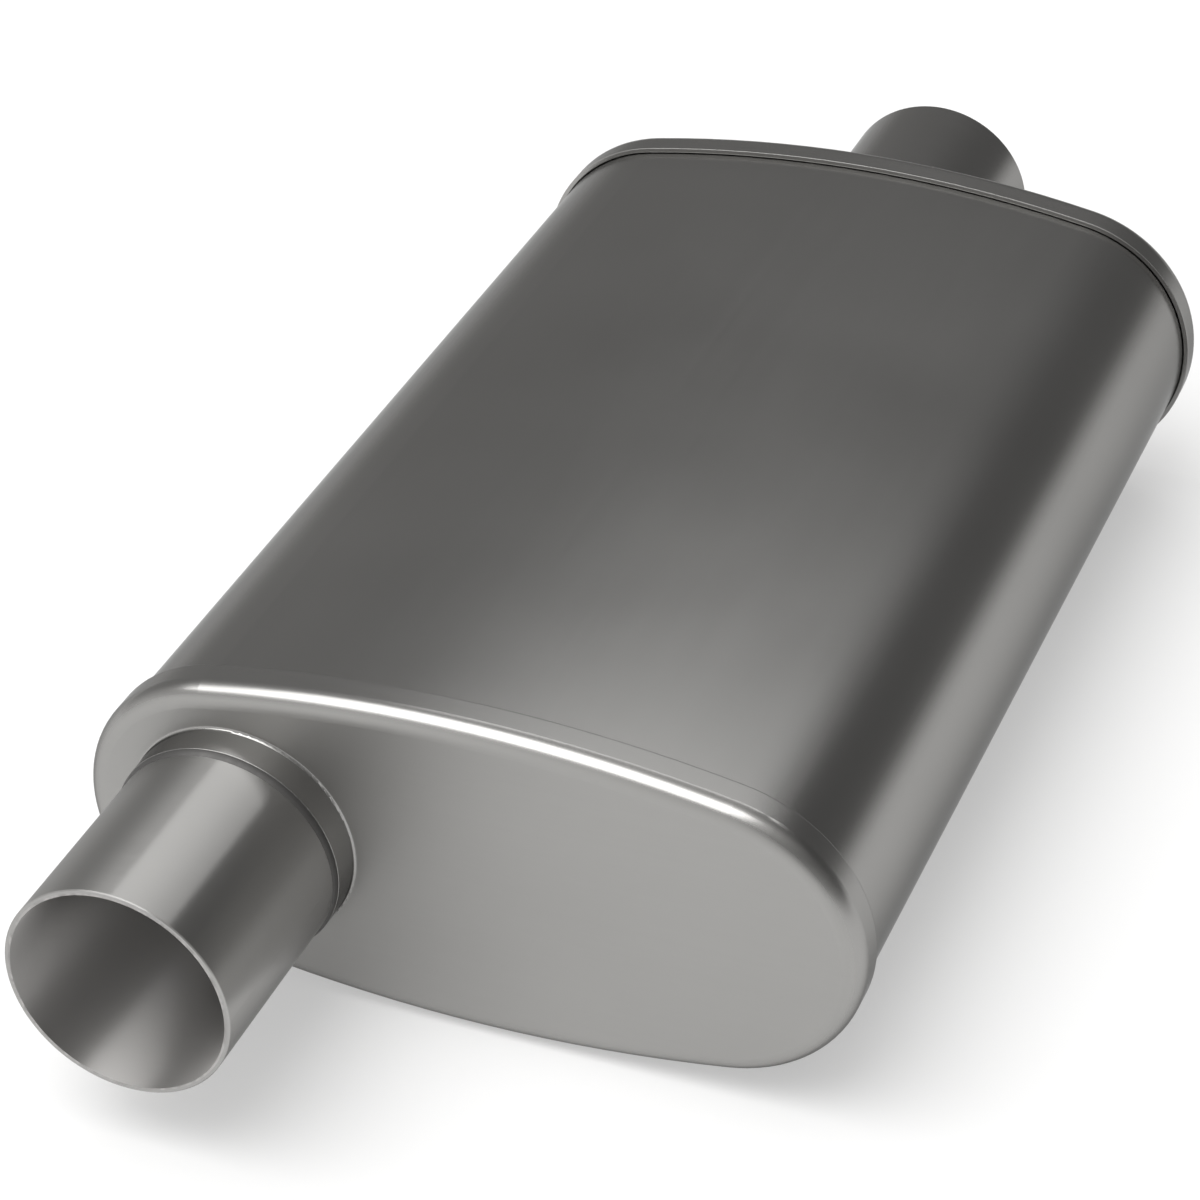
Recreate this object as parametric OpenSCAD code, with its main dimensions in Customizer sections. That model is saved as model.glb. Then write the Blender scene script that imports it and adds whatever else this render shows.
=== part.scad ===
// Straight-through muffler: oval body, offset inlet neck, centred outlet neck.
// Millimetres. X runs across the body, Y along the gas flow, Z up.
// The origin is the middle of the body, and the inlet is at its -Y end.

/* [Body] */
// Width of the oval shell
body_w = 228.6; // [222:0.1:260]
// Height of the oval shell
body_h = 101.6; // [98:0.1:120]
// Radius of the two narrow sides of the oval
side_r = 44.45; // [40:0.05:45]
// Length of the body, from one end face to the other
body_len = 358; // [330:0.1:480]
// Thickness of the rolled shell sheet
shell_t = 1.2; // [0.8:0.1:2]

/* [End caps] */
// Thickness of the pressed cap sheet
cap_t = 1.5; // [1:0.1:2.5]
// Clearance between a skirt and the shell inside it
skirt_gap = 0.3; // [0.05:0.05:0.5]
// How far a skirt reaches back from the end face
skirt_len = 13; // [9:0.5:25]
// Outside radius where the end face turns into the skirt
edge_r = 6; // [3:0.1:7]
// Height of the drawn collar above the end face
collar_h = 10; // [6:0.5:16]
// Thickness of the drawn collar, thinned from the cap sheet
collar_t = 0.8; // [0.6:0.1:1]
// Radius in the corner between the end face and the collar
root_r = 0.9; // [0.4:0.1:2.5]
// Radius on the outer edge of the collar's rim
rim_r = 0.2; // [0.1:0.05:0.4]
// Clearance between a collar and the neck inside it
collar_gap = 0.1; // [0.05:0.05:0.4]

/* [Necks] */
// Bore of both necks, a slip fit over a 63.5 pipe
neck_bore = 63.8; // [50:0.1:65]
// Wall of both necks
neck_t = 1.65; // [1.2:0.05:2]
// Length of neck that shows outside the end face
neck_out = 75; // [40:0.1:120]
// Length of neck inside the end face
neck_in = 31.2; // [25:0.1:36]
// Bevel on the outer edge of a neck's mouth
mouth_bevel = 0.3; // [0.1:0.05:0.6]
// How far in from the body's -X side the inlet neck's axis is
inlet_side = 47.8; // [46.5:0.1:90]
// Sideways place of the outlet neck, from the middle of the body
outlet_x = 0; // [-10:0.5:60]

/* [Core] */
// Wall of the perforated core tube
core_t = 1.2; // [0.8:0.1:1.6]
// Clearance between the core and the neck inside it
core_gap = 0.15; // [0.05:0.05:0.3]
// How far the core slides over each neck's inner end
core_lap = 18; // [10:0.5:22]
// Radius of the core's two bends
bend_r = 96.25; // [60:0.25:120]
// Straight length of core between each neck's inner end and the bend
core_straight = 20.05; // [4:0.05:40]
// Diameter of the punched holes
hole_d = 6; // [3:0.5:8]
// Pitch of the rings of holes, along the core
ring_pitch = 9.5; // [9:0.5:20]
// Holes in one ring
ring_holes = 16; // [8:1:18]

/* [Packing] */
// Thickness of the steel wool sleeve
sleeve_t = 3; // [1.5:0.5:4]
// Clearance between the sleeve and the core
sleeve_gap = 0.15; // [0.05:0.05:0.4]
// How far the sleeve stops short of each end of the core
sleeve_short = 10; // [2:0.5:30]
// Clearance of the packing mat all round
mat_gap = 0.3; // [0.1:0.1:0.6]

/* [Welds] */
// Height of a collar bead along the neck
collar_bead_h = 2.2; // [1:0.1:4]
// Width of a collar bead on the rim
collar_bead_w = 0.8; // [0.5:0.1:1]
// Length of a core bead along the neck
core_bead_h = 2; // [1:0.1:3]
// Width of the shell's seam bead
seam_w = 4; // [2:0.5:8]
// Height of the seam bead above the shell, less than a skirt stands proud
seam_h = 0.5; // [0.2:0.1:0.8]

/* [Hidden] */
$fn = 96;
// Facets of a full turn for the shallow arcs, which are only a few degrees long
wide_fn = 360;
// Facets of a punched hole
hole_fn = 32;
// A cut passes this far through the face that it opens
through = 1;
// The core's slanted run passes this far into each bend, so that the runs join
run_lap = 0.02;

// The oval outline is four arcs in tangent: two wide ones above and below, two narrow ones at
// the sides. wide_r is the radius that closes it on body_w, body_h and side_r.
half_h = body_h / 2;
side_x = body_w / 2 - side_r;
wide_r = (side_x ^ 2 + half_h ^ 2 - side_r ^ 2) / (2 * (half_h - side_r));
wide_y = wide_r - half_h;

// Shares of side_r: how deep a solid sweep reaches, and how far in the middle piece starts
sweep_depth = 0.75 * side_r;
middle_inset = 0.6 * side_r;
middle_half_w = side_x + 0.35 * side_r;

face_y = body_len / 2;
shell_half = face_y - edge_r;
neck_r = neck_bore / 2 + neck_t;
collar_in_r = neck_r + collar_gap;
collar_out_r = collar_in_r + collar_t;
collar_foot_r = collar_in_r + cap_t + root_r;
core_in_r = neck_r + core_gap;
core_out_r = core_in_r + core_t;
sleeve_in_r = core_out_r + sleeve_gap;
sleeve_out_r = sleeve_in_r + sleeve_t;
mat_in_r = sleeve_out_r + mat_gap;

// The core's centre line: straight over the inlet neck, a bend, a straight slanted run, the bend
// back, straight over the outlet neck. Its middle is a centre of symmetry. The bends start at
// bend_y, and the slanted run is the line in tangent to both.
inlet_x = inlet_side - body_w / 2;
sway = outlet_x - inlet_x;
core_middle_x = (inlet_x + outlet_x) / 2;
neck_end = face_y - neck_in;
core_end = neck_end + core_lap;
bend_y = neck_end - core_straight;
bend_x = bend_r - sway / 2;
slant_len = 2 * sqrt(bend_x ^ 2 + bend_y ^ 2 - bend_r ^ 2);
slant_sin = (bend_y * bend_r - bend_x * slant_len / 2) / (bend_x ^ 2 + bend_y ^ 2);
slant_cos = sqrt(1 - slant_sin ^ 2);
slant_turn = asin(slant_sin);
sleeve_end = core_end - sleeve_short;
ring_count = floor((slant_len - hole_d) / ring_pitch);

// Lays out what is drawn upright along the flow, with its top towards the inlet
module along_flow() {
    rotate([90, 0, 0]) children();
}

// Places what is drawn for the inlet end at the outlet end instead
module at_outlet() {
    mirror([0, 1, 0]) children();
}

// Sweeps a section round the oval. The section's x is the distance out from the shell's outer
// face, and its y is the height. Each arc is cut from a full turn at the two lines that join its
// centre to its neighbours' centres, where the arcs are in tangent.
module oval_sweep() {
    joint = [side_x, wide_y];
    for (side = [0, 180]) {
        rotate([0, 0, side]) translate([0, -wide_y, 0]) intersection() {
            rotate_extrude($fn = wide_fn) translate([wide_r, 0]) children();
            wedge([[0, 0], 2 * joint, [-2 * joint[0], 2 * joint[1]]]);
        }
        rotate([0, 0, side]) translate([side_x, 0, 0]) intersection() {
            rotate_extrude() translate([side_r, 0]) children();
            wedge([
                [0, 0],
                [-joint[0], joint[1]] / -2,
                [body_w, -joint[1] / 2],
                [body_w, joint[1] / 2],
                joint / 2
            ]);
        }
    }
}

// A block over a plan outline, as tall as the body is long
module wedge(outline) {
    translate([0, 0, -body_len]) linear_extrude(height = 2 * body_len) polygon(outline);
}

// Fills the middle that a solid sweep leaves open, from height z0 to z1
module oval_middle(z0, z1) {
    translate([0, 0, z0]) linear_extrude(height = z1 - z0) intersection() {
        translate([0, wide_y]) circle(r = wide_r - middle_inset, $fn = wide_fn);
        translate([0, -wide_y]) circle(r = wide_r - middle_inset, $fn = wide_fn);
        square([2 * middle_half_w, body_h], center = true);
    }
}

// A solid oval block, smaller than the shell's outline by inset, from height z0 to z1
module oval_block(inset, z0, z1) {
    oval_sweep()
        translate([-sweep_depth, z0]) square([sweep_depth - inset, z1 - z0]);
    oval_middle(z0, z1);
}

// Section of a cap from the flat face round the edge and down the skirt, its face at height 0
module cap_section() {
    out = skirt_gap + cap_t;
    translate([-sweep_depth, -cap_t]) square([sweep_depth + out - edge_r, cap_t]);
    translate([out - edge_r, -edge_r]) intersection() {
        difference() {
            circle(r = edge_r);
            circle(r = edge_r - cap_t);
        }
        square(edge_r);
    }
    translate([skirt_gap, -skirt_len]) square([cap_t, skirt_len - edge_r]);
}

// Section of a collar drawn out of the face, from the flat through the bend to the rim. The bend
// thins from the sheet to the collar, so its two arcs have different centres.
module collar_section() {
    difference() {
        translate([collar_foot_r, root_r]) intersection() {
            circle(r = root_r + cap_t);
            mirror([1, 1]) square(root_r + cap_t);
        }
        translate([collar_out_r + root_r, root_r]) circle(r = root_r);
        translate([collar_out_r + root_r, 0]) square(root_r + cap_t);
    }
    difference() {
        translate([collar_in_r, root_r]) square([collar_t, collar_h - root_r]);
        translate([collar_out_r - rim_r, collar_h - rim_r]) difference() {
            square(rim_r + through);
            circle(r = rim_r);
        }
    }
}

// A pressed end cap with its collar at x, drawn for the inlet end
module end_cap(x) {
    along_flow() translate([0, 0, face_y]) {
        difference() {
            union() {
                oval_sweep() cap_section();
                oval_middle(-cap_t, 0);
            }
            translate([x, 0, -cap_t - through])
                cylinder(r = collar_foot_r, h = cap_t + 2 * through);
        }
        translate([x, 0, 0]) rotate_extrude() collar_section();
    }
}

// A neck tube at x, drawn for the inlet end
module neck(x) {
    along_flow() translate([x, 0, face_y - neck_in]) rotate_extrude() polygon([
        [neck_bore / 2, 0],
        [neck_r, 0],
        [neck_r, neck_in + neck_out - mouth_bevel],
        [neck_r - mouth_bevel, neck_in + neck_out],
        [neck_bore / 2, neck_in + neck_out]
    ]);
}

// Section of a bead in the corner of a wall at x = 0 and a floor at y = 0. Its face is an arc
// that leaves the floor at width w and the wall at height h.
module bead_section(w, h) {
    back = 1.5 * h;
    drop = (w ^ 2 + 2 * w * back - h ^ 2) / (2 * h);
    intersection() {
        square([w + h, h + w]);
        translate([-back, -drop]) circle(r = norm([w + back, drop]));
    }
}

// The bead that closes a collar's rim on the neck at x, drawn for the inlet end
module collar_weld(x) {
    along_flow() translate([x, 0, face_y + collar_h]) rotate_extrude()
        translate([neck_r, 0]) bead_section(collar_bead_w, collar_bead_h);
}

// The bead that closes the core's end on the neck at x, drawn for the inlet end
module core_weld(x) {
    along_flow() translate([x, 0, core_end]) rotate_extrude()
        translate([neck_r, 0]) bead_section(core_gap + core_t, core_bead_h);
}

// Sweeps a round section along the core's centre line, to y_end beyond the middle at each end
module core_sweep(y_end) {
    translate([core_middle_x, 0, 0]) {
        rotate([0, 0, -slant_turn]) rotate([-90, 0, 0])
            linear_extrude(height = slant_len + 2 * run_lap, center = true) children();
        for (turn = [0, 180]) rotate([0, 0, turn]) {
            translate([sway / 2 - bend_r, bend_y, 0]) intersection() {
                rotate_extrude($fn = wide_fn) translate([bend_r, 0]) children();
                wedge([[0, 0], [2 * bend_r, 0], 2 * bend_r * [slant_cos, -slant_sin]]);
            }
            translate([sway / 2, bend_y, 0]) rotate([-90, 0, 0])
                linear_extrude(height = y_end - bend_y) children();
        }
    }
}

// The punches of every hole, in rings along the slanted run, each ring half a space round from
// the last
module punches() {
    translate([core_middle_x, 0, 0]) rotate([0, 0, -slant_turn])
        for (ring = [0 : ring_count - 1], hole = [0 : ring_holes - 1]) {
            stagger = ring % 2 / 2;
            translate([0, (ring - (ring_count - 1) / 2) * ring_pitch, 0])
                rotate([0, (hole + stagger) * 360 / ring_holes, 0])
                    translate([0, 0, core_in_r - through])
                        cylinder(d = hole_d, h = core_t + 2 * through, $fn = hole_fn);
        }
}

module shell() {
    color([0.42, 0.41, 0.40])
        along_flow() oval_sweep()
            translate([-shell_t, -shell_half]) square([shell_t, 2 * shell_half]);
}

module shell_seam_weld() {
    length = 2 * (face_y - skirt_len - through);
    crown_r = (seam_w ^ 2 / 4 + seam_h ^ 2) / (2 * seam_h);
    color([0.50, 0.48, 0.45])
        along_flow() translate([0, -half_h, -length / 2]) linear_extrude(height = length)
            intersection() {
                translate([0, crown_r - seam_h]) circle(r = crown_r, $fn = wide_fn);
                translate([-seam_w, -seam_w]) square([2 * seam_w, seam_w]);
            }
}

module inlet_end_cap() {
    color([0.60, 0.59, 0.58]) end_cap(inlet_x);
}

module outlet_end_cap() {
    color([0.60, 0.59, 0.58]) at_outlet() end_cap(outlet_x);
}

module inlet_neck() {
    color([0.52, 0.51, 0.50]) neck(inlet_x);
}

module outlet_neck() {
    color([0.52, 0.51, 0.50]) at_outlet() neck(outlet_x);
}

module inlet_collar_weld() {
    color([0.45, 0.44, 0.42]) collar_weld(inlet_x);
}

module outlet_collar_weld() {
    color([0.45, 0.44, 0.42]) at_outlet() collar_weld(outlet_x);
}

module perforated_core() {
    color([0.55, 0.54, 0.53])
        difference() {
            core_sweep(core_end) difference() {
                circle(r = core_out_r);
                circle(r = core_in_r);
            }
            punches();
        }
}

module inlet_core_weld() {
    color([0.45, 0.44, 0.42]) core_weld(inlet_x);
}

module outlet_core_weld() {
    color([0.45, 0.44, 0.42]) at_outlet() core_weld(outlet_x);
}

module mesh_sleeve() {
    color([0.48, 0.48, 0.46])
        core_sweep(sleeve_end) difference() {
            circle(r = sleeve_out_r);
            circle(r = sleeve_in_r);
        }
}

module packing_mat() {
    color([0.85, 0.83, 0.72])
        difference() {
            along_flow()
                oval_block(shell_t + mat_gap, -shell_half + through, shell_half - through);
            core_sweep(face_y) circle(r = mat_in_r);
        }
}

shell();
shell_seam_weld();
inlet_end_cap();
outlet_end_cap();
inlet_neck();
outlet_neck();
inlet_collar_weld();
outlet_collar_weld();
perforated_core();
inlet_core_weld();
outlet_core_weld();
mesh_sleeve();
packing_mat();
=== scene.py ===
"""Dresses the straight-through muffler and sets up its studio.

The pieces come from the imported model, in metres: X across the body, Y along the gas flow, Z up,
with the origin in the middle of the oval body. They get their satin stainless finishes, and the
scene gets a pale floor, soft light and the photograph's camera.
"""

import logging
import math
from dataclasses import dataclass
from enum import Enum

import bpy
from mathutils import Matrix, Vector


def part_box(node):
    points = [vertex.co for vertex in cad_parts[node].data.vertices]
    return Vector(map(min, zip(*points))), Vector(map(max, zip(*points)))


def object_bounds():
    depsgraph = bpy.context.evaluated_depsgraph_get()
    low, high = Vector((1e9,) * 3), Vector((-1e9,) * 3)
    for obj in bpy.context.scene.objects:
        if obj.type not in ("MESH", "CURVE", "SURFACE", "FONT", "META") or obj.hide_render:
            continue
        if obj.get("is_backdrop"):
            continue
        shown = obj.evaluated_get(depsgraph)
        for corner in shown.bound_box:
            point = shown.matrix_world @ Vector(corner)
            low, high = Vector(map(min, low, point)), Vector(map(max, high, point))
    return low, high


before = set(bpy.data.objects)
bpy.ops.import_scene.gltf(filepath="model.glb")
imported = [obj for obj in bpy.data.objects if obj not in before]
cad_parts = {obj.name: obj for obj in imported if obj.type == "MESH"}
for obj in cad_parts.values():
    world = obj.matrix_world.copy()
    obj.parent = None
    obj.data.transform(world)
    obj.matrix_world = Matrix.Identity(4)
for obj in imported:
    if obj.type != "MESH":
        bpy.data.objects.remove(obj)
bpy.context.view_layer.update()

log = logging.getLogger("muffler")

Colour = tuple[float, float, float]
Socket = bpy.types.NodeSocket

WHITE: Colour = (1.0, 1.0, 1.0)
MM_PER_METRE = 1000

# The part of a noise's values that each pattern uses, from its low end to its high end.
CLOUD_RANGE = (0.35, 0.65)
LINE_RANGE = (0.3, 0.7)
OXIDE_RANGE = (0.35, 0.7)
TUFT_RANGE = (0.35, 0.6)


def rgba(colour: Colour, level: float = 1.0) -> list[float]:
    """Multiplies a linear colour by a level and makes it opaque."""
    return [part * level for part in colour] + [1.0]


class GrainRun(Enum):
    """Which way the polishing lines of a steel run, as noise scales along X, Y and Z."""

    ALONG_FLOW = (700.0, 14.0, 700.0)
    ROUND_FLOW = (14.0, 700.0, 14.0)
    ACROSS_FACE = (14.0, 500.0, 700.0)


@dataclass(frozen=True)
class NodeSheet:
    """Adds and links the shader nodes of one material or world.

    Attributes:
        tree: The node tree that the nodes go into.
    """

    tree: bpy.types.NodeTree

    def add(
        self, kind: str, inputs: dict[str | int, object] | None = None, **settings: object
    ) -> bpy.types.Node:
        """Adds a node.

        Args:
            kind: The node's Blender type name.
            inputs: Values, or output sockets to link, by the input's name or number.
            settings: Properties set on the node itself.

        Returns:
            The new node.
        """
        node = self.tree.nodes.new(kind)
        for key, value in settings.items():
            setattr(node, key, value)
        for key, value in (inputs or {}).items():
            socket = node.inputs[key]
            if isinstance(value, Socket):
                self.tree.links.new(value, socket)
            else:
                socket.default_value = value
        return node

    def place(self) -> Socket:
        """Gives the object coordinates, in metres."""
        return self.add("ShaderNodeTexCoord").outputs["Object"]

    def maths(self, operation: str, *values: object) -> Socket:
        """Adds a Math node with these numbers or sockets as its inputs, and gives its result."""
        return self.add("ShaderNodeMath", dict(enumerate(values)), operation=operation).outputs[0]

    def spread(
        self, value: Socket, low: float, high: float, start: float = 0.0, end: float = 1.0
    ) -> Socket:
        """Maps a value, so that it becomes low where it was start and high where it was end."""
        inputs = {0: value, 1: start, 2: end, 3: low, 4: high}
        return self.add("ShaderNodeMapRange", inputs).outputs[0]

    def noise(self, place: Socket, scale: float, detail: float, distortion: float = 0.0) -> Socket:
        """Adds a Noise Texture node, with scale features in a metre, and gives its values."""
        inputs = {"Vector": place, "Scale": scale, "Detail": detail, "Distortion": distortion}
        return self.add("ShaderNodeTexNoise", inputs).outputs[0]

    def mix(self, share: Socket, first: object, second: object, way: str = "MIX") -> Socket:
        """Mixes two colours or colour sockets, by the share of the second one."""
        inputs = {0: share, 6: first, 7: second}
        return self.add("ShaderNodeMix", inputs, data_type="RGBA", blend_type=way).outputs[2]

    def relief(self, height: Socket, strength: float, depth: float, **inputs: Socket) -> Socket:
        """Adds a Bump node for a pattern so many metres deep, and gives the changed normal."""
        known = {"Height": height, "Strength": strength, "Distance": depth}
        return self.add("ShaderNodeBump", {**known, **inputs}).outputs[0]


@dataclass(frozen=True)
class Finish:
    """A material of one Principled shader; each kind of finish says what goes into it.

    Attributes:
        name: The material's name.
    """

    name: str

    def gloss(self, sheet: NodeSheet) -> dict[str, object]:
        """Builds the shader's inputs, by name; each kind of finish has its own."""
        raise NotImplementedError

    def make(self) -> bpy.types.Material:
        """Builds the material.

        Returns:
            The material.
        """
        material = bpy.data.materials.new(self.name)
        material.use_nodes = True
        material.node_tree.nodes.clear()
        sheet = NodeSheet(material.node_tree)
        shader = sheet.add("ShaderNodeBsdfPrincipled", self.gloss(sheet)).outputs[0]
        sheet.add("ShaderNodeOutputMaterial", {"Surface": shader})
        return material


@dataclass(frozen=True)
class SatinSteel(Finish):
    """Stainless steel with a fine satin polish.

    Attributes:
        tint: The steel's colour, linear.
        roughness: How wide its reflections spread.
        grain: Which way the polishing lines run.
        line_depth: Depth of the polishing lines, in metres.
        line_strength: How much of their relief shows.
        line_gloss: How much the roughness changes from line to line.
        cloud_scale: How many faint clouds of colour fit in a metre.
        cloud_tint: How much the colour changes from cloud to cloud, as a share of it.
        cloud_gloss: How much the roughness changes from cloud to cloud.
        glance: Brightness of what it reflects at a glancing angle.
    """

    tint: Colour
    roughness: float = 0.22
    grain: GrainRun = GrainRun.ALONG_FLOW
    line_depth: float = 0.0000003
    line_strength: float = 0.4
    line_gloss: float = 0.008
    cloud_scale: float = 9.0
    cloud_tint: float = 0.03
    cloud_gloss: float = 0.01
    glance: float = 0.42

    def soften(self, sheet: NodeSheet) -> dict[str, Socket]:
        """Gives the lines' relief its Normal input where edges are worn; a plain sheet has none."""
        return {}

    def gloss(self, sheet: NodeSheet) -> dict[str, object]:
        """Gives the steel its polishing lines and its faint clouds of colour.

        Args:
            sheet: The material's node sheet.

        Returns:
            The shader's inputs, by name.
        """
        place = sheet.place()
        drawn_out = {"Vector": place, "Scale": self.grain.value}
        drawn = sheet.add("ShaderNodeMapping", drawn_out).outputs[0]
        lines = sheet.noise(drawn, scale=1.0, detail=3.0)
        clouds = sheet.noise(place, self.cloud_scale, detail=2.0)
        smooth, rough = self.roughness - self.line_gloss, self.roughness + self.line_gloss
        shine = sheet.maths(
            "ADD",
            sheet.spread(lines, smooth, rough, *LINE_RANGE),
            sheet.spread(clouds, -self.cloud_gloss, self.cloud_gloss, *CLOUD_RANGE),
        )
        deep, pale = rgba(self.tint, 1 - self.cloud_tint), rgba(self.tint, 1 + self.cloud_tint)
        edges = self.soften(sheet)
        return {
            "Base Color": sheet.mix(sheet.spread(clouds, 0, 1, *CLOUD_RANGE), deep, pale),
            "Metallic": 1.0,
            "Roughness": shine,
            "Specular Tint": rgba(WHITE, self.glance),
            "Normal": sheet.relief(lines, self.line_strength, self.line_depth, **edges),
        }


@dataclass(frozen=True, kw_only=True)
class TubeSteel(SatinSteel):
    """Satin steel of a tube along the flow, duller inside, with painted light making the inside
    paler.

    The inside is ground round, so that its gloss is drawn out along the flow.

    Attributes:
        axis_x: Sideways place of the tube's axis, in metres.
        bore_radius: Radius of its inside, in metres.
        bore_margin: How far out of the bore its finish reaches, in metres.
        bore_painted_light_tint: The colour inside, linear, paler than the outside as painted light
            in the bore.
        bore_dullness: How much wider reflections spread inside than outside.
        stretch: How far the gloss outside is drawn out, from 0 to 1; inside it is 1.
    """

    axis_x: float
    bore_radius: float = 0.0319
    bore_margin: float = 0.0006
    # Painted light: the bore gets a paler colour than the tube's outside, in place of light
    # reaching into it.
    bore_painted_light_tint: Colour = (0.5, 0.49, 0.48)
    bore_dullness: float = 0.2
    stretch: float = 0.0

    def inside(self, sheet: NodeSheet) -> Socket:
        """Tells the tube's inside from its outside.

        Args:
            sheet: The material's node sheet.

        Returns:
            A socket that is 1 inside and 0 outside.
        """
        moved = {"Vector": sheet.place(), "Location": (-self.axis_x, 0.0, 0.0)}
        centred = sheet.add("ShaderNodeMapping", moved).outputs[0]
        across = {0: centred, 1: (1.0, 0.0, 1.0)}
        flat = sheet.add("ShaderNodeVectorMath", across, operation="MULTIPLY").outputs[0]
        reach = sheet.add("ShaderNodeVectorMath", {0: flat}, operation="LENGTH").outputs["Value"]
        return sheet.maths("LESS_THAN", reach, self.bore_radius + self.bore_margin)

    def gloss(self, sheet: NodeSheet) -> dict[str, object]:
        """Gives the inside of the tube its duller finish, its paler colour as painted light, and
        its lengthwise gloss.

        Args:
            sheet: The material's node sheet.

        Returns:
            The shader's inputs, by name.
        """
        gloss = super().gloss(sheet)
        inside = self.inside(sheet)
        dull = sheet.maths("MULTIPLY", inside, self.bore_dullness)
        along_flow = {"X": 0.0, "Y": 1.0, "Z": 0.0}
        # Painted light: the inside is mixed to a paler colour than the outside.
        gloss["Base Color"] = sheet.mix(inside, gloss["Base Color"], rgba(self.bore_painted_light_tint))
        gloss["Roughness"] = sheet.maths("ADD", gloss["Roughness"], dull)
        gloss["Anisotropic"] = sheet.spread(inside, self.stretch, 1.0)
        gloss["Tangent"] = sheet.add("ShaderNodeCombineXYZ", along_flow).outputs[0]
        return gloss


@dataclass(frozen=True, kw_only=True)
class CapSteel(SatinSteel):
    """Satin steel of a pressed cap, with a duller face painted lighter as painted reflected light,
    and a worn skirt edge.

    Attributes:
        face_y: How far out along the flow the flat face lies, in metres.
        face_start: How far under the face its own finish starts, in metres.
        face_full: How far under the face its own finish is full, in metres.
        face_slack: How far above the face its own finish ends, in metres.
        dullness: How much wider reflections spread on the face than on the rest.
        face_painted_light: How many times lighter the face is painted than the rest, as painted
            reflected light.
        trim_y: How far out the zone of the trimmed edge ends, in metres.
        edge_radius: How round that edge is worn, in metres.
        edge_samples: How many rays the worn edge is worked out from.
    """

    face_y: float = 0.179
    face_start: float = 0.0015
    face_full: float = 0.0003
    face_slack: float = 0.0001
    dullness: float = 0.24
    # Painted light: the flat face's colour is made this many times lighter, in place of reflected
    # light.
    face_painted_light: float = 1.12
    trim_y: float = 0.1668
    edge_radius: float = 0.00035
    edge_samples: int = 8

    def out_along_flow(self, sheet: NodeSheet) -> Socket:
        """Measures how far a point lies from the middle of the body along the flow, in metres."""
        along = sheet.add("ShaderNodeSeparateXYZ", {0: sheet.place()}).outputs["Y"]
        return sheet.maths("ABSOLUTE", along)

    def soften(self, sheet: NodeSheet) -> dict[str, Socket]:
        """Rounds the trimmed edge of the skirt, which catches the light.

        Args:
            sheet: The material's node sheet.

        Returns:
            The Normal input of the polishing lines' relief.
        """
        at_trim = sheet.maths("LESS_THAN", self.out_along_flow(sheet), self.trim_y)
        plain = sheet.add("ShaderNodeNewGeometry").outputs["Normal"]
        worn = sheet.add(
            "ShaderNodeBevel", {"Radius": self.edge_radius}, samples=self.edge_samples
        ).outputs[0]
        both = {0: at_trim, 4: plain, 5: worn}
        return {"Normal": sheet.add("ShaderNodeMix", both, data_type="VECTOR").outputs[1]}

    def gloss(self, sheet: NodeSheet) -> dict[str, object]:
        """Dulls the flat face and paints it lighter as painted reflected light, and neither the
        rounded rim nor the collar.

        Args:
            sheet: The material's node sheet.

        Returns:
            The shader's inputs, by name.
        """
        gloss = super().gloss(sheet)
        out = self.out_along_flow(sheet)
        near = sheet.spread(out, 0, 1, self.face_y - self.face_start, self.face_y - self.face_full)
        below = sheet.maths("LESS_THAN", out, self.face_y + self.face_slack)
        on_face = sheet.maths("MULTIPLY", near, below)
        dull = sheet.maths("MULTIPLY", on_face, self.dullness)
        # Painted light: the face's colour is lightened to stand in for reflected light, not for a
        # paler steel.
        lighter = rgba(WHITE, self.face_painted_light)
        gloss["Base Color"] = sheet.mix(on_face, gloss["Base Color"], lighter, "MULTIPLY")
        gloss["Roughness"] = sheet.maths("ADD", gloss["Roughness"], dull)
        return gloss


@dataclass(frozen=True)
class BeadSteel(Finish):
    """The smooth, unpolished steel of a weld bead, darker than the sheet.

    Attributes:
        tint: The bead's colour, linear.
        roughness: How wide its reflections spread.
        ripple_scale: How many of its fine ripples fit in a metre.
        ripple_depth: How deep they are, in metres.
        ripple_strength: How much of their relief shows.
        ripple_gloss: How much the roughness changes over them.
        oxide_scale: How many paler spots fit in a metre.
        oxide_level: How many times lighter these are.
    """

    name: str = "weld_bead_steel"
    tint: Colour = (0.11, 0.108, 0.106)
    roughness: float = 0.6
    ripple_scale: float = 420.0
    ripple_depth: float = 0.00004
    ripple_strength: float = 0.5
    ripple_gloss: float = 0.05
    oxide_scale: float = 60.0
    oxide_level: float = 1.15

    def gloss(self, sheet: NodeSheet) -> dict[str, object]:
        """Gives the bead its ripples and its paler spots.

        Args:
            sheet: The material's node sheet.

        Returns:
            The shader's inputs, by name.
        """
        place = sheet.place()
        ripples = sheet.noise(place, self.ripple_scale, detail=2.0)
        oxide = sheet.noise(place, self.oxide_scale, detail=3.0)
        spots = sheet.spread(oxide, 0, 1, *OXIDE_RANGE)
        smooth, rough = self.roughness - self.ripple_gloss, self.roughness + self.ripple_gloss
        return {
            "Base Color": sheet.mix(spots, rgba(self.tint), rgba(self.tint, self.oxide_level)),
            "Metallic": 1.0,
            "Roughness": sheet.spread(ripples, smooth, rough, *LINE_RANGE),
            "Normal": sheet.relief(ripples, self.ripple_strength, self.ripple_depth),
        }


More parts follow.
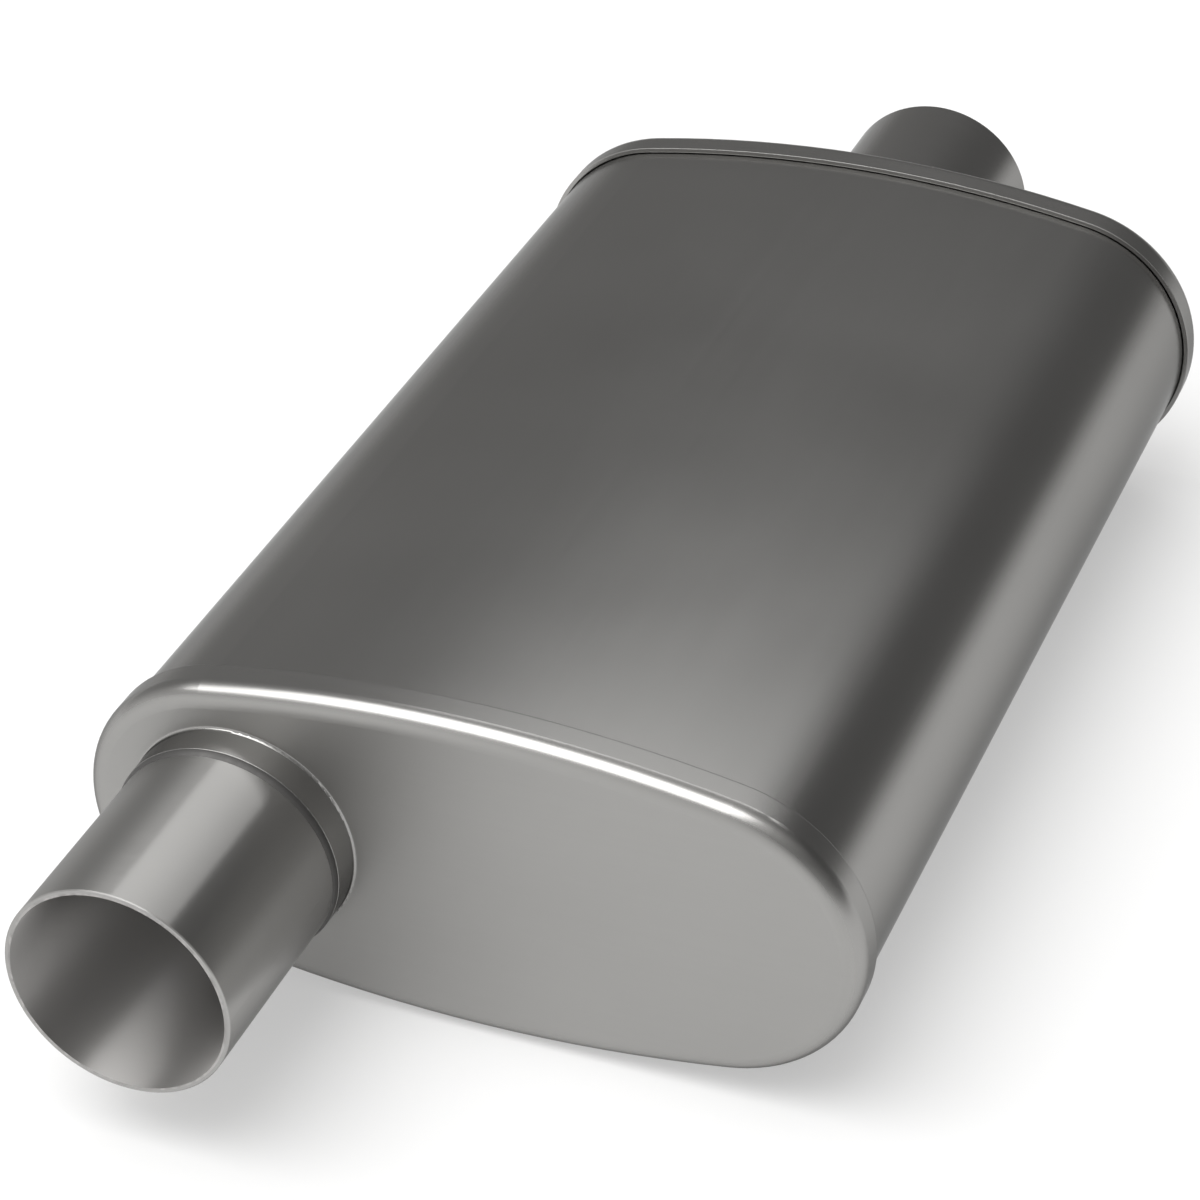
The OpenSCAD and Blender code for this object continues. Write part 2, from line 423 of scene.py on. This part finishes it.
@dataclass(frozen=True)
class FibreFill(Finish):
    """A mass of fine fibres: steel wool or needled glass mat.

    Attributes:
        tint: The fibres' colour, linear.
        shade: The colour of the gaps between them, linear; painted shade where the gaps lie in
            shadow.
        metallic: 1 for wire, 0 for glass.
        roughness: How wide its reflections spread.
        tuft: Width of the tufts that the fibres gather in, in metres.
        curl: How much the tufts are curled.
        tuft_strength: How much of their relief shows.
        tuft_depth: How deep they are, as a share of their width.
    """

    tint: Colour
    shade: Colour
    metallic: float
    roughness: float
    tuft: float
    curl: float = 2.5
    tuft_strength: float = 0.8
    tuft_depth: float = 1 / 3

    def gloss(self, sheet: NodeSheet) -> dict[str, object]:
        """Gives the mass its tufts, with painted shade darkening the gaps between them.

        Args:
            sheet: The material's node sheet.

        Returns:
            The shader's inputs, by name.
        """
        strands = sheet.noise(sheet.place(), 1 / self.tuft, detail=5.0, distortion=self.curl)
        full = sheet.spread(strands, 0, 1, *TUFT_RANGE)
        return {
            # Painted shade: the gaps between the tufts are darkened toward the shade colour.
            "Base Color": sheet.mix(full, rgba(self.shade), rgba(self.tint)),
            "Metallic": self.metallic,
            "Roughness": self.roughness,
            "Normal": sheet.relief(strands, self.tuft_strength, self.tuft * self.tuft_depth),
        }


@dataclass(frozen=True)
class FloorPaper(Finish):
    """Plain pale paper, which the camera and the steel see lighter than the lamps make it.

    Attributes:
        level: The paper's grey, linear.
        lift: Brightness that the camera and reflections see on top of the lit paper.
        roughness: How wide its reflections spread.
    """

    level: float
    lift: float
    roughness: float = 0.9

    def gloss(self, sheet: NodeSheet) -> dict[str, object]:
        """Gives the paper its grey and its lift.

        Args:
            sheet: The material's node sheet.

        Returns:
            The shader's inputs, by name.
        """
        path = sheet.add("ShaderNodeLightPath").outputs
        direct = sheet.maths("MAXIMUM", path["Is Camera Ray"], path["Is Glossy Ray"])
        seen = sheet.maths("MAXIMUM", direct, path["Is Transmission Ray"])
        return {
            "Base Color": rgba(WHITE, self.level),
            "Roughness": self.roughness,
            "Specular IOR Level": 0.0,
            "Emission Color": rgba(WHITE),
            "Emission Strength": sheet.maths("MULTIPLY", seen, self.lift),
        }


def dress(node: str, finish: Finish) -> None:
    """Gives a CAD piece its finish and reports it.

    Args:
        node: The piece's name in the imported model.
        finish: Its finish.
    """
    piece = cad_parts[node]
    piece.data.materials.clear()
    piece.data.materials.append(finish.make())
    low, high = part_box(node)
    size = [round((b - a) * MM_PER_METRE, 1) for a, b in zip(low, high)]
    log.info("%s: %s, %s mm", node, finish.name, size)


@dataclass
class Body:
    """The rolled oval shell and the seam that closes it.

    Attributes:
        sheet: The shell's finish.
        bead: The seam's finish.
    """

    sheet: SatinSteel
    bead: BeadSteel

    def dress(self) -> None:
        """Gives the shell and its seam their finishes."""
        dress("shell", self.sheet)
        dress("shell_seam_weld", self.bead)


@dataclass
class End:
    """One end of the muffler: the pressed cap, its neck and the bead between them.

    Attributes:
        side: Which end, inlet or outlet, as the pieces are named.
        pressing: The cap's finish.
        tube: The neck's finish.
        bead: The bead's finish.
    """

    side: str
    pressing: CapSteel
    tube: TubeSteel
    bead: BeadSteel

    def dress(self) -> None:
        """Gives the cap, the neck and the bead their finishes."""
        dress(f"{self.side}_end_cap", self.pressing)
        dress(f"{self.side}_neck", self.tube)
        dress(f"{self.side}_collar_weld", self.bead)


@dataclass
class GasPath:
    """What lies inside the body: the punched core and its beads, the wool and the glass mat.

    Attributes:
        core: The punched tube's finish.
        bead: The finish of the beads at its ends.
        wool: The sleeve's finish.
        mat: The packing's finish.
    """

    core: SatinSteel
    bead: BeadSteel
    wool: FibreFill
    mat: FibreFill

    def dress(self) -> None:
        """Gives the inner pieces their finishes."""
        dress("perforated_core", self.core)
        dress("inlet_core_weld", self.bead)
        dress("outlet_core_weld", self.bead)
        dress("mesh_sleeve", self.wool)
        dress("packing_mat", self.mat)


@dataclass
class SoftBox:
    """A rectangular lamp that faces the middle of the muffler.

    Attributes:
        name: The lamp's name.
        azimuth: Direction to it in degrees, 0 behind the muffler and 90 on its right.
        elevation: Its height above the horizon, in degrees.
        distance: How far off it is, in metres.
        width: Its width, in metres.
        height: Its height, in metres.
        level: The brightness of its face, where 1 is white.
        tilt: How far its right end, seen from the muffler, is turned up, in degrees.
    """

    name: str
    azimuth: float
    elevation: float
    distance: float
    width: float
    height: float
    level: float
    tilt: float = 0.0

    def hang(self) -> None:
        """Adds the lamp."""
        azimuth, elevation = math.radians(self.azimuth), math.radians(self.elevation)
        out = math.cos(elevation)
        way = Vector((math.sin(azimuth) * out, math.cos(azimuth) * out, math.sin(elevation)))
        data = bpy.data.lights.new(self.name, "AREA")
        data.shape = "RECTANGLE"
        data.size, data.size_y = self.width, self.height
        data.energy = self.level * math.pi * self.width * self.height
        lamp = bpy.data.objects.new(self.name, data)
        bpy.context.scene.collection.objects.link(lamp)
        facing = way.to_track_quat("Z", "Y").to_matrix().to_4x4()
        turned = facing @ Matrix.Rotation(math.radians(self.tilt), 4, "Z")
        lamp.matrix_world = Matrix.Translation(way * self.distance) @ turned
        log.info("lamp %s at %s m", self.name, [round(v, 2) for v in lamp.location])


@dataclass
class Studio:
    """The plain pale floor, the room round it and its soft lamps.

    A direction's place along an axis goes from -1, straight against it, to 1, straight along it.

    Attributes:
        lamps: The soft boxes.
        paper: The floor's finish.
        room: Brightness of the room by place along Z, as pairs of place and level.
        floor_size: Side of the floor, in metres.
        floor_gap: How far under the muffler it lies, in metres.
        room_tint: The room's colour, linear.
        outlet_gain: What the room's brightness is multiplied by behind the outlet end.
        inlet_gain: What it is multiplied by before the inlet end.
        flow_span: The places along Y where these two gains are reached.
        left_gain: What the room's brightness is multiplied by on the left.
        right_gain: What it is multiplied by on the right.
        side_span: The places along X where these two gains are reached.
        haze: Brightness of the horizon all round, where the floor runs into the room.
        haze_top: Place along Z where the haze ends.
    """

    lamps: list[SoftBox]
    paper: FloorPaper
    room: tuple[tuple[float, float], ...]
    floor_size: float = 12.0
    floor_gap: float = 0.0002
    room_tint: Colour = (1.0, 0.995, 0.985)
    outlet_gain: float = 1.0
    inlet_gain: float = 3.0
    flow_span: tuple[float, float] = (0.3, -0.9)
    left_gain: float = 1.6
    right_gain: float = 0.6
    side_span: tuple[float, float] = (-0.6, 0.6)
    haze: float = 0.76
    haze_top: float = 0.12

    def lay_floor(self) -> None:
        """Adds the floor under the muffler and marks it as stage."""
        low, _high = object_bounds()
        bpy.ops.object.select_all(action="DESELECT")
        bpy.ops.mesh.primitive_plane_add(
            size=self.floor_size, location=(0, 0, low.z - self.floor_gap)
        )
        floor = bpy.context.object
        floor.name = "floor"
        floor.data.materials.append(self.paper.make())
        floor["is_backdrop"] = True

    def fill_ramp(self, ramp: bpy.types.ColorRamp) -> None:
        """Gives a colour ramp the room's steps of brightness.

        Args:
            ramp: The ramp, by place along Z.
        """
        stops = ramp.elements
        while len(stops) > 1:
            stops.remove(stops[-1])
        for number, (height, level) in enumerate(self.room):
            stop = stops[0] if number == 0 else stops.new(height)
            stop.position = height
            stop.color = rgba(WHITE, level)

    def paint_room(self) -> None:
        """Gives the room its soft steps of brightness, from the horizon to overhead."""
        world = bpy.data.worlds.new("studio_room")
        bpy.context.scene.world = world
        world.use_nodes = True
        world.node_tree.nodes.clear()
        sheet = NodeSheet(world.node_tree)
        way = sheet.add("ShaderNodeTexCoord").outputs["Generated"]
        x, y, z = sheet.add("ShaderNodeSeparateXYZ", {0: way}).outputs
        ramp = sheet.add("ShaderNodeValToRGB", {0: z})
        self.fill_ramp(ramp.color_ramp)
        front = sheet.spread(y, self.outlet_gain, self.inlet_gain, *self.flow_span)
        side = sheet.spread(x, self.left_gain, self.right_gain, *self.side_span)
        tone = sheet.maths("MULTIPLY", sheet.maths("MULTIPLY", ramp.outputs[0], front), side)
        low_down = sheet.spread(z, 1.0, 0.0, 0.0, self.haze_top)
        both = {0: low_down, 2: tone, 3: self.haze}
        strength = sheet.add("ShaderNodeMix", both, data_type="FLOAT").outputs[0]
        light = {"Color": rgba(self.room_tint), "Strength": strength}
        glow = sheet.add("ShaderNodeBackground", light).outputs[0]
        sheet.add("ShaderNodeOutputWorld", {"Surface": glow})

    def build(self) -> None:
        """Adds the floor, the room and the lamps."""
        self.lay_floor()
        self.paint_room()
        for lamp in self.lamps:
            lamp.hang()


@dataclass
class PhotoCamera:
    """The camera, where the photograph was taken from.

    Attributes:
        azimuth: Turn round the muffler from its inlet end towards +X, in radians.
        elevation: Height above the horizon, in radians.
        roll: Turn about the line of sight, in radians.
        distance: Distance to the target, in metres.
        target: The point at the middle of the frame, in metres.
        sensor: Width of the sensor, in millimetres.
        lens: Focal length, in millimetres.
        near: The nearest that it sees, in metres.
        far: The furthest that it sees, in metres.
    """

    azimuth: float = 0.3925
    elevation: float = 0.5952
    roll: float = -0.0188
    distance: float = 1.1458
    target: tuple[float, float, float] = (-0.02301, -0.01902, -0.01295)
    sensor: float = 36.0
    lens: float = 110.196
    near: float = 0.02
    far: float = 50.0

    def place(self) -> None:
        """Adds the camera and makes it the scene's."""
        a, e = self.azimuth, self.elevation
        back = Vector((math.sin(a) * math.cos(e), -math.cos(a) * math.cos(e), math.sin(e)))
        level = Vector((math.cos(a), math.sin(a), 0.0))
        upright = back.cross(level)
        right = math.cos(self.roll) * level + math.sin(self.roll) * upright
        up = -math.sin(self.roll) * level + math.cos(self.roll) * upright
        turn = Matrix((right, up, back)).transposed().to_4x4()
        data = bpy.data.cameras.new("photo_camera")
        data.sensor_fit = "HORIZONTAL"
        data.sensor_width = self.sensor
        data.lens = self.lens
        data.clip_start, data.clip_end = self.near, self.far
        camera = bpy.data.objects.new("photo_camera", data)
        bpy.context.scene.collection.objects.link(camera)
        camera.matrix_world = Matrix.Translation(Vector(self.target) + back * self.distance) @ turn
        bpy.context.scene.camera = camera


WELD_BEAD = BeadSteel()
SHELL_SHEET = SatinSteel(name="shell_satin_steel", tint=(0.345, 0.341, 0.333))
CAP_PRESSING = CapSteel(
    name="cap_satin_steel",
    tint=SHELL_SHEET.tint,
    roughness=0.25,
    grain=GrainRun.ACROSS_FACE,
)
# Painted light: the inlet neck's tint is lighter than the outlet neck's, though both are the same
# steel, as a painted brighter highlight.
INLET_TUBE = TubeSteel(
    name="inlet_neck_painted_light_steel",
    tint=(0.405, 0.4, 0.391),
    roughness=0.3,
    grain=GrainRun.ROUND_FLOW,
    axis_x=-0.0665,
    stretch=0.9,
)
OUTLET_TUBE = TubeSteel(
    name="outlet_neck_satin_steel",
    tint=(0.36, 0.355, 0.347),
    grain=GrainRun.ROUND_FLOW,
    axis_x=0.0,
    bore_dullness=0.28,
)
CORE_TUBE = SatinSteel(name="core_mill_steel", tint=(0.4, 0.395, 0.39), roughness=0.38)
CORE_WOOL = FibreFill(
    name="core_wire_wool",
    tint=(0.4, 0.4, 0.39),
    shade=(0.12, 0.12, 0.12),
    metallic=1.0,
    roughness=0.55,
    tuft=0.0006,
)
GLASS_MAT = FibreFill(
    name="glass_fibre_mat",
    tint=(0.82, 0.8, 0.7),
    shade=(0.6, 0.57, 0.47),
    metallic=0.0,
    roughness=0.9,
    tuft=0.0015,
)

KEY_LAMP = SoftBox(
    name="key",
    azimuth=-138.0,
    elevation=67.0,
    distance=2.4,
    width=2.6,
    height=1.7,
    level=2.8,
    tilt=16.0,
)
STRIP_LAMP = SoftBox(
    name="strip",
    azimuth=2.0,
    elevation=51.5,
    distance=2.4,
    width=2.2,
    height=0.42,
    level=2.2,
)
FLOOR_PAPER = FloorPaper(name="floor_paper", level=0.6, lift=0.38)
ROOM = (
    (0.0, 0.36),
    (0.17, 0.28),
    (0.34, 0.24),
    (0.5, 0.19),
    (0.6, 0.21),
    (0.68, 0.3),
    (0.8, 0.38),
    (1.0, 0.7),
)


def main() -> None:
    """Dresses the muffler, lights it and places the camera."""
    logging.basicConfig(level=logging.INFO, format="%(name)s: %(message)s")
    bpy.context.scene.view_settings.view_transform = "Standard"
    Body(SHELL_SHEET, WELD_BEAD).dress()
    End("inlet", CAP_PRESSING, INLET_TUBE, WELD_BEAD).dress()
    End("outlet", CAP_PRESSING, OUTLET_TUBE, WELD_BEAD).dress()
    GasPath(CORE_TUBE, WELD_BEAD, CORE_WOOL, GLASS_MAT).dress()
    Studio([KEY_LAMP, STRIP_LAMP], FLOOR_PAPER, ROOM).build()
    PhotoCamera().place()


if __name__ == "__main__":
    main()
